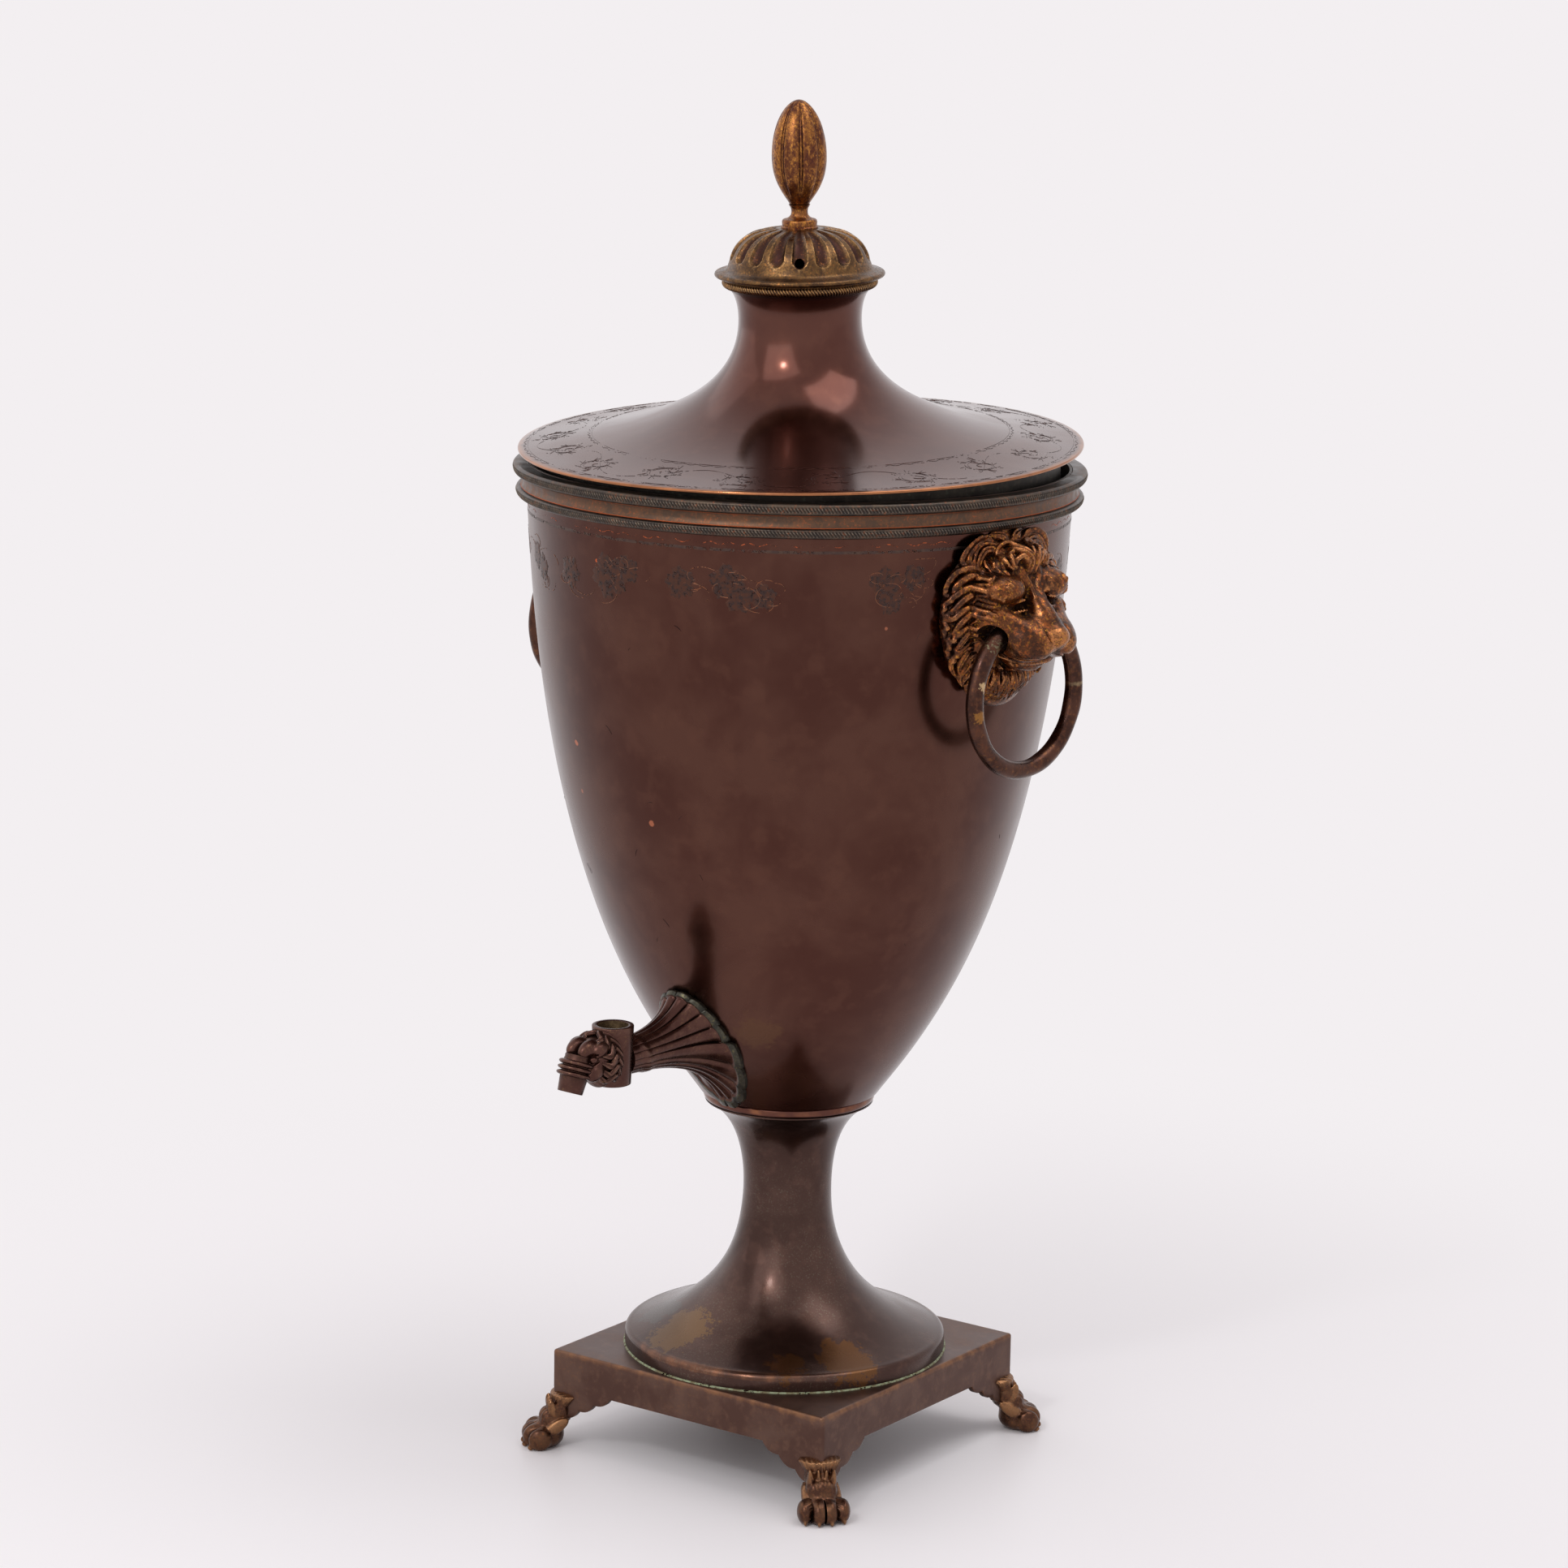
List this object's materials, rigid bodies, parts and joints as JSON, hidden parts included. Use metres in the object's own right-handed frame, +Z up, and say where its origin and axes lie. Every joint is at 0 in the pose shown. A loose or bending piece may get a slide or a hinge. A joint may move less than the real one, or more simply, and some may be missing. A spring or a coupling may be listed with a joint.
{
  "type": "tea urn",
  "caption": "Tall vase-shaped hot-water urn on a stem and square plinth with paw feet, with a lid, lion masks with ring handles, a tap body and a heater well.",
  "frame": {"origin": "on the floor under the urn's axis, which is the axis of the bowl, the stem and the tie rod", "axes": "+Z up along the urn's axis, the tap at the front within a few degrees of -Y, the masks and rings on +X and -X"},
  "size_m": [0.2752, 0.2487, 0.5411],
  "materials": {
    "urn_copper": "patinated copper, chocolate brown, semi-gloss",
    "worn_copper": "worn patinated copper",
    "moulding_bronze": "dark grey-bronze, milled",
    "gilt_bronze": "mottled old gilding, satin",
    "tap_bronze": "dark brown bronze, satin",
    "foot_bronze": "worn bronze, satin",
    "ring_bronze": "brown bronze, semi-gloss",
    "tinned_copper": "tinned, dull",
    "iron": "rough, dull",
    "fastener_brass": "turned, satin"
  },
  "bodies": {
    "urn": {"plinth": "urn_copper", "paw_front": "foot_bronze", "paw_right": "foot_bronze", "paw_back": "foot_bronze", "paw_left": "foot_bronze", "foot_screws": "fastener_brass", "pedestal_stem": "urn_copper", "waist_collar": "urn_copper", "tie_rod": "iron", "tie_washer": "iron", "tie_nut": "iron", "bowl": "urn_copper", "rim_upper_bead": "moulding_bronze", "rim_cove": "moulding_bronze", "rim_lower_bead": "moulding_bronze", "lid_seat_ring": "tinned_copper", "lion_mask_right": "gilt_bronze", "lion_mask_left": "gilt_bronze", "mask_nuts": "fastener_brass", "tap_shank": "tap_bronze", "tap_barrel": "tap_bronze", "tap_spout": "tap_bronze", "heater_sleeve": "tinned_copper"},
    "lid": {"lid_cover": "urn_copper", "lid_bezel": "worn_copper", "cap_rope_bead": "gilt_bronze", "lid_cap": "gilt_bronze", "finial_knop": "gilt_bronze", "finial_bud": "gilt_bronze", "finial_nut": "fastener_brass"},
    "ring_right": {"ring_handle_right": "ring_bronze"},
    "ring_left": {"ring_handle_left": "ring_bronze"},
    "heater_lid": {"heater_cover": "tinned_copper"},
    "billet": {"iron_billet": "iron"}
  },
  "joints": [
    {"name": "lid_lift", "type": "slide", "parent": "urn", "child": "lid", "axis": [0, 0, 1], "range_m": [0, 0.09]},
    {"name": "heater_cover_lift", "type": "slide", "parent": "urn", "child": "heater_lid", "axis": [0, 0, 1], "range_m": [0, 0.05]},
    {"name": "billet_lift", "type": "slide", "parent": "urn", "child": "billet", "axis": [0, 0, 1], "range_m": [0, 0.05]},
    {"name": "ring_right_swing", "type": "hinge", "parent": "urn", "child": "ring_right", "pos_m": [0.118, 0, 0.3481], "axis": [0, -1, 0], "range_deg": [-12, 105]},
    {"name": "ring_left_swing", "type": "hinge", "parent": "urn", "child": "ring_left", "pos_m": [-0.118, 0, 0.3481], "axis": [0, 1, 0], "range_deg": [-12, 105]}
  ]
}
